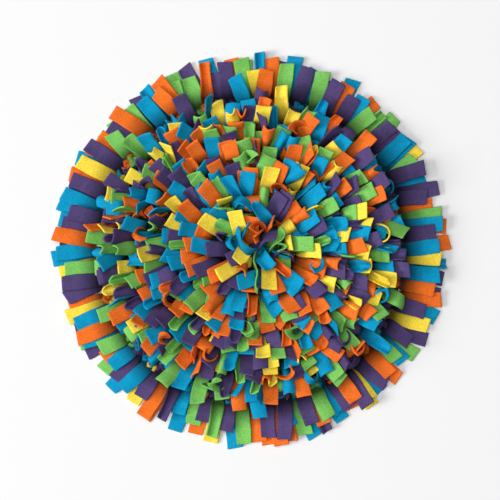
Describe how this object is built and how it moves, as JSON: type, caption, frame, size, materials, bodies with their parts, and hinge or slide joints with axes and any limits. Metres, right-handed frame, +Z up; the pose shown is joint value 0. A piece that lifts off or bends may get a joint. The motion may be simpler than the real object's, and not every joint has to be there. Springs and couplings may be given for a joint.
{
  "type": "round snuffle mat",
  "caption": "Round pet snuffle mat: fleece strips in mixed colours, gathered where they are tied to a flat base cloth, lean outward in a dense pile with a flat fringe round the rim.",
  "frame": {"origin": "centre of the base cloth's underside, on the floor", "axes": "+Z up out of the pile; +Y towards the far side of the mat, +X to its right when seen from above"},
  "size_m": [0.4986, 0.4965, 0.0618],
  "materials": {
    "base_cloth": "matt dark felt",
    "fleece_blue": "matt napped fleece",
    "fleece_purple": "matt napped fleece",
    "fleece_orange": "matt napped fleece",
    "fleece_green": "matt napped fleece",
    "fleece_yellow": "matt napped fleece"
  },
  "bodies": {
    "root": {"base_cloth": "base_cloth", "rim_blue": "fleece_blue", "rim_purple": "fleece_purple", "rim_orange": "fleece_orange", "rim_green": "fleece_green", "rim_yellow": "fleece_yellow", "rank2_blue": "fleece_blue", "rank2_purple": "fleece_purple", "rank2_orange": "fleece_orange", "rank2_green": "fleece_green", "rank2_yellow": "fleece_yellow", "rank3_blue": "fleece_blue", "rank3_purple": "fleece_purple", "rank3_orange": "fleece_orange", "rank3_green": "fleece_green", "rank3_yellow": "fleece_yellow", "rank4_blue": "fleece_blue", "rank4_purple": "fleece_purple", "rank4_orange": "fleece_orange", "rank4_green": "fleece_green", "rank4_yellow": "fleece_yellow", "rank5_blue": "fleece_blue", "rank5_purple": "fleece_purple", "rank5_orange": "fleece_orange", "rank5_green": "fleece_green", "rank5_yellow": "fleece_yellow", "rank6_blue": "fleece_blue", "rank6_purple": "fleece_purple", "rank6_orange": "fleece_orange", "rank6_green": "fleece_green", "centre_blue": "fleece_blue", "centre_orange": "fleece_orange", "centre_yellow": "fleece_yellow"}
  },
  "joints": []
}
